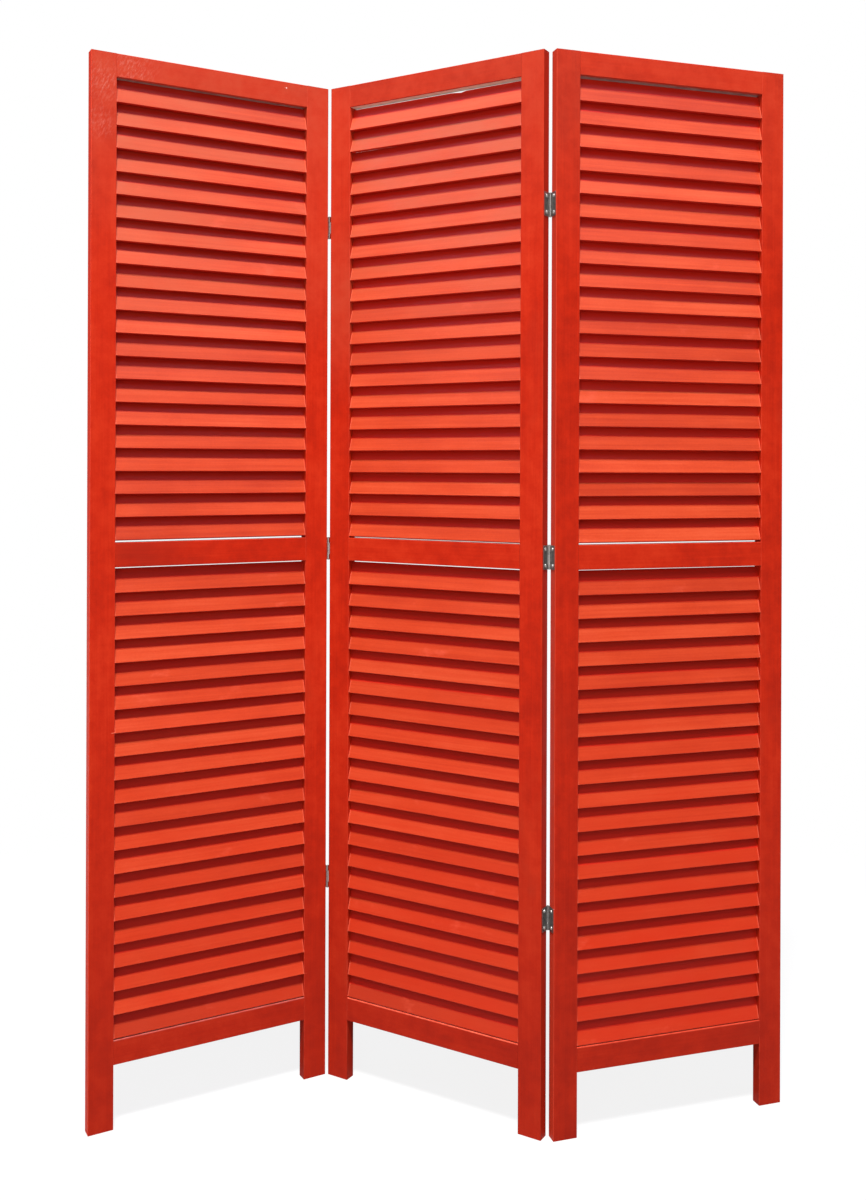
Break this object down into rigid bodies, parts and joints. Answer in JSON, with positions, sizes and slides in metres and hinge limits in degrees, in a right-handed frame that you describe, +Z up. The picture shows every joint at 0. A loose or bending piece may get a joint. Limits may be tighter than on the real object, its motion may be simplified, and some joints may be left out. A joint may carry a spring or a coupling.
{
  "type": "folding louvred screen",
  "caption": "Folding room divider of tall framed panels with fixed louvre slats, painted red, hinged in a zigzag so that it stands by itself and folds flat.",
  "frame": {"origin": "on the floor, under the middle of the standing screen's box", "axes": "+Z up along the panels' height, +X to the right along the screen's spread as seen from its front, +Y from the front to the back"},
  "size_m": [1.1226, 0.221, 1.702],
  "materials": {
    "frame_paint": "satin red paint on wood",
    "slat_paint": "satin red paint on wood",
    "hinge_nickel": "dulled nickel plate",
    "screw_steel": "bright nickel plate"
  },
  "bodies": {
    "middle_panel": {"left_hinge_bottom_middle_leaf": "hinge_nickel", "left_hinge_bottom_pin": "hinge_nickel", "left_hinge_middle_middle_leaf": "hinge_nickel", "left_hinge_middle_pin": "hinge_nickel", "left_hinge_middle_screws": "screw_steel", "left_hinge_top_middle_leaf": "hinge_nickel", "left_hinge_top_pin": "hinge_nickel", "middle_panel_bottom_rail": "frame_paint", "middle_panel_left_stile": "frame_paint", "middle_panel_lower_slats": "slat_paint", "middle_panel_mid_rail": "frame_paint", "middle_panel_right_stile": "frame_paint", "middle_panel_top_rail": "frame_paint", "middle_panel_upper_slats": "slat_paint", "right_hinge_bottom_middle_leaf": "hinge_nickel", "right_hinge_bottom_pin": "hinge_nickel", "right_hinge_middle_middle_leaf": "hinge_nickel", "right_hinge_middle_pin": "hinge_nickel", "right_hinge_middle_screws": "screw_steel", "right_hinge_top_middle_leaf": "hinge_nickel", "right_hinge_top_pin": "hinge_nickel"},
    "left_panel": {"left_hinge_bottom_side_leaf": "hinge_nickel", "left_hinge_middle_side_leaf": "hinge_nickel", "left_hinge_side_screws": "screw_steel", "left_hinge_top_side_leaf": "hinge_nickel", "left_panel_bottom_rail": "frame_paint", "left_panel_left_stile": "frame_paint", "left_panel_lower_slats": "slat_paint", "left_panel_mid_rail": "frame_paint", "left_panel_right_stile": "frame_paint", "left_panel_top_rail": "frame_paint", "left_panel_upper_slats": "slat_paint"},
    "right_panel": {"right_hinge_bottom_side_leaf": "hinge_nickel", "right_hinge_middle_side_leaf": "hinge_nickel", "right_hinge_side_screws": "screw_steel", "right_hinge_top_side_leaf": "hinge_nickel", "right_panel_bottom_rail": "frame_paint", "right_panel_left_stile": "frame_paint", "right_panel_lower_slats": "slat_paint", "right_panel_mid_rail": "frame_paint", "right_panel_right_stile": "frame_paint", "right_panel_top_rail": "frame_paint", "right_panel_upper_slats": "slat_paint"}
  },
  "joints": [
    {"name": "left_fold", "type": "hinge", "parent": "middle_panel", "child": "left_panel", "pos_m": [-0.19824, 0.09404, 0], "axis": [0, 0, 1], "range_deg": [-60, 120]},
    {"name": "right_fold", "type": "hinge", "parent": "middle_panel", "child": "right_panel", "pos_m": [0.16738, -0.09188, 0], "axis": [0, 0, 1], "range_deg": [-48, 132]}
  ]
}
